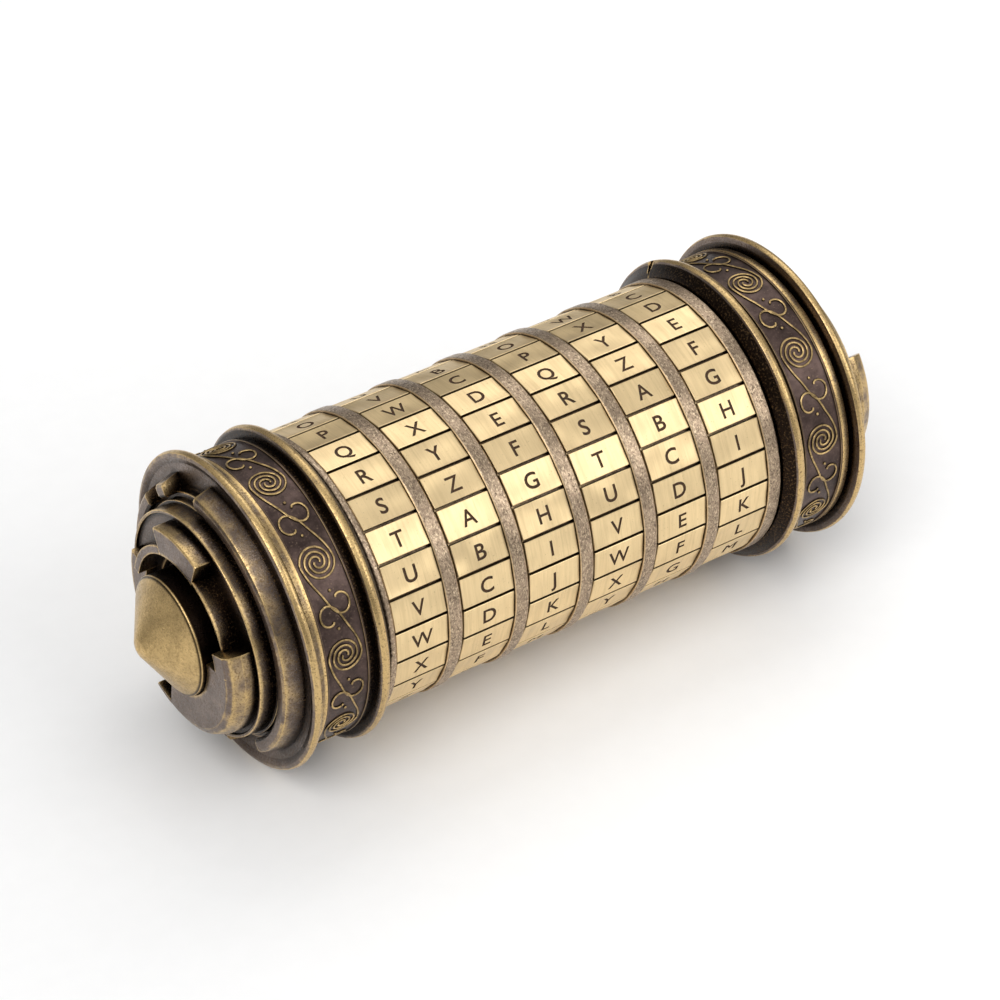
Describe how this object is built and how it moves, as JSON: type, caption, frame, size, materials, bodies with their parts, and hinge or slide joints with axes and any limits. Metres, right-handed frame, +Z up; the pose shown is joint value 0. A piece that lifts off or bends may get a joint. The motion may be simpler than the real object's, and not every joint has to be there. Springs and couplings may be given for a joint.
{
  "type": "cryptex",
  "caption": "Cylindrical brass cryptex with turning letter dials on a slotted barrel and a hidden vault that slides out of one capped end.",
  "frame": {"origin": "on the surface that the rims lie on, under the middle of the length", "axes": "+X along the axis, from the vault's head to the barrel's closed end; +Z up; the letters are read from the -Y side"},
  "size_m": [0.1296, 0.05, 0.05],
  "materials": {
    "antique_brass": "antiqued: bright rubbed edges over dark brown hollows",
    "satin_brass": "satin, brushed round the dial",
    "inner_brass": "plain turned",
    "dark_bronze": "dark patina with rubbed gold scrolls",
    "steel": "plain steel"
  },
  "bodies": {
    "barrel": {"barrel_tube": "inner_brass", "retaining_ring": "antique_brass", "far_cap_hub": "antique_brass", "far_cap_screws": "steel", "far_filigree_sleeve": "dark_bronze", "far_end_plate": "antique_brass", "far_cone_finial": "antique_brass"},
    "dial_1": {"letter_ring_1": "satin_brass", "code_ring_1": "inner_brass"},
    "dial_2": {"letter_ring_2": "satin_brass", "code_ring_2": "inner_brass"},
    "dial_3": {"letter_ring_3": "satin_brass", "code_ring_3": "inner_brass"},
    "dial_4": {"letter_ring_4": "satin_brass", "code_ring_4": "inner_brass"},
    "dial_5": {"letter_ring_5": "satin_brass", "code_ring_5": "inner_brass"},
    "dial_6": {"letter_ring_6": "satin_brass", "code_ring_6": "inner_brass"},
    "vault": {"vault_tube": "inner_brass", "key_rail": "inner_brass", "key_rivets": "steel", "head_cap_hub": "antique_brass", "head_cap_screws": "steel", "head_filigree_sleeve": "dark_bronze", "head_end_plate": "antique_brass", "head_cone_finial": "antique_brass"}
  },
  "joints": [
    {"name": "dial_1_turn", "type": "hinge", "parent": "barrel", "child": "dial_1", "pos_m": [-0.02875, 0, 0.025], "axis": [1, 0, 0], "continuous": true},
    {"name": "dial_2_turn", "type": "hinge", "parent": "barrel", "child": "dial_2", "pos_m": [-0.01705, 0, 0.025], "axis": [1, 0, 0], "continuous": true},
    {"name": "dial_3_turn", "type": "hinge", "parent": "barrel", "child": "dial_3", "pos_m": [-0.00535, 0, 0.025], "axis": [1, 0, 0], "continuous": true},
    {"name": "dial_4_turn", "type": "hinge", "parent": "barrel", "child": "dial_4", "pos_m": [0.00635, 0, 0.025], "axis": [1, 0, 0], "continuous": true},
    {"name": "dial_5_turn", "type": "hinge", "parent": "barrel", "child": "dial_5", "pos_m": [0.01805, 0, 0.025], "axis": [1, 0, 0], "continuous": true},
    {"name": "dial_6_turn", "type": "hinge", "parent": "barrel", "child": "dial_6", "pos_m": [0.02975, 0, 0.025], "axis": [1, 0, 0], "continuous": true},
    {"name": "vault_slide", "type": "slide", "parent": "barrel", "child": "vault", "axis": [-1, 0, 0], "range_m": [0, 0.08]}
  ]
}
